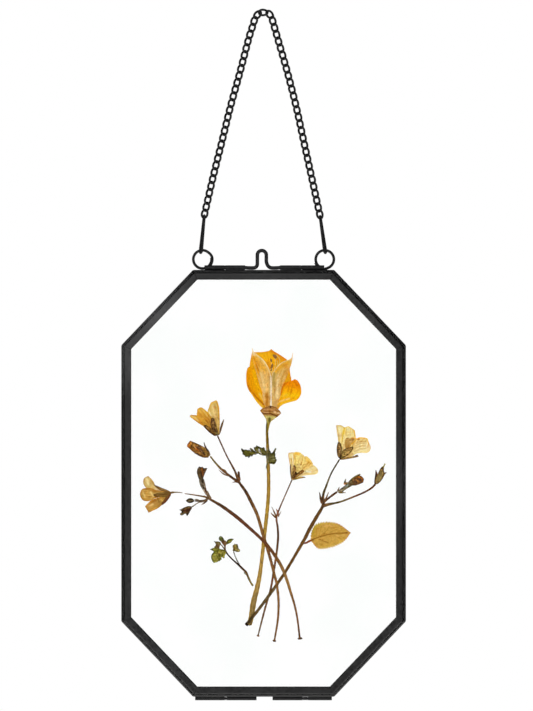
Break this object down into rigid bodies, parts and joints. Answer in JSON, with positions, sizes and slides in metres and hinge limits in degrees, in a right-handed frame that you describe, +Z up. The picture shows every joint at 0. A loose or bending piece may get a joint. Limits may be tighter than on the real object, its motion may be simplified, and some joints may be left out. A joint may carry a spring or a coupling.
{
  "type": "pressed flower frame",
  "caption": "Octagonal metal hanging frame of hinged glazed halves with a spring wire latch and a chain, holding a spray of pressed flowers, leaves and stems.",
  "frame": {"origin": "where the chain's top link hangs on its nail", "axes": "+X to the viewer's right, +Y away from the viewer towards the wall, +Z up"},
  "size_m": [0.15, 0.0072, 0.3648],
  "materials": {
    "black_metal": "satin black lacquer over soldered metal",
    "glass": "clear polished sheet",
    "orange_petal": "dried petal, bright yellow orange, matt",
    "pale_petal": "dried petal, translucent cream and ochre with brown veins",
    "yellow_petal": "dried petal, pale yellow and tan, matt",
    "brown_sepal": "dried sepals and buds, dark brown, matt",
    "brown_stem": "dried flat stem, red brown",
    "olive_stem": "dried flat stem, yellow olive",
    "green_leaf": "dried leaf, dark green, matt",
    "mustard_leaf": "dried leaf, mustard brown, matt"
  },
  "bodies": {
    "hanger": {"chain_left": "black_metal", "chain_right": "black_metal", "chain_top_link": "black_metal", "long_link_left": "black_metal", "long_link_right": "black_metal"},
    "back_half": {"back_rail_top": "black_metal", "back_rail_upper_right": "black_metal", "back_rail_right": "black_metal", "back_rail_lower_right": "black_metal", "back_rail_bottom": "black_metal", "back_rail_lower_left": "black_metal", "back_rail_left": "black_metal", "back_rail_upper_left": "black_metal", "back_glass": "glass", "hanging_ring_left": "black_metal", "hanging_ring_right": "black_metal", "big_flower_back_petal": "orange_petal", "big_flower_left_wing": "orange_petal", "big_flower_right_wing": "orange_petal", "big_flower_left_petal": "pale_petal", "big_flower_right_petal": "pale_petal", "big_flower_calyx": "brown_sepal", "big_flower_stem": "olive_stem", "big_flower_leaf": "green_leaf", "upper_left_flower_petals": "yellow_petal", "upper_left_flower_sepals": "brown_sepal", "upper_left_bud": "yellow_petal", "upper_left_stem": "brown_stem", "far_left_flower_petals": "yellow_petal", "far_left_flower_sepals": "brown_sepal", "far_left_upper_bud": "brown_sepal", "far_left_small_bud": "brown_sepal", "far_left_lower_bud": "brown_sepal", "far_left_stem": "brown_stem", "middle_flower_petals": "yellow_petal", "middle_flower_sepals": "brown_sepal", "middle_stem": "brown_stem", "right_flower_petals": "yellow_petal", "right_flower_sepals": "brown_sepal", "right_bud": "brown_sepal", "far_right_bud": "brown_sepal", "right_stem": "brown_stem", "mustard_leaf": "mustard_leaf", "sprig_stem": "green_leaf", "sprig_big_leaf": "green_leaf", "sprig_upper_leaves": "green_leaf", "sprig_calyx": "green_leaf"},
    "front_half": {"front_rail_top": "black_metal", "front_rail_upper_right": "black_metal", "front_rail_right": "black_metal", "front_rail_lower_right": "black_metal", "front_rail_bottom": "black_metal", "front_rail_lower_left": "black_metal", "front_rail_left": "black_metal", "front_rail_upper_left": "black_metal", "front_glass": "glass", "hinge_pin_left": "black_metal", "hinge_pin_right": "black_metal"},
    "latch": {"latch_wire": "black_metal"}
  },
  "joints": [
    {"name": "frame_swing", "type": "hinge", "parent": "hanger", "child": "back_half", "pos_m": [0, 0.0021, -0.12614], "axis": [1, 0, 0], "range_deg": [-80, 80]},
    {"name": "front_opens", "type": "hinge", "parent": "back_half", "child": "front_half", "pos_m": [0, 0, -0.36255], "axis": [1, 0, 0], "range_deg": [0, 175], "deforming": ["latch_wire"]},
    {"name": "latch_turns", "type": "hinge", "parent": "front_half", "child": "latch", "pos_m": [0, 0, -0.13525], "axis": [1, 0, 0], "range_deg": [-80, 80]}
  ]
}
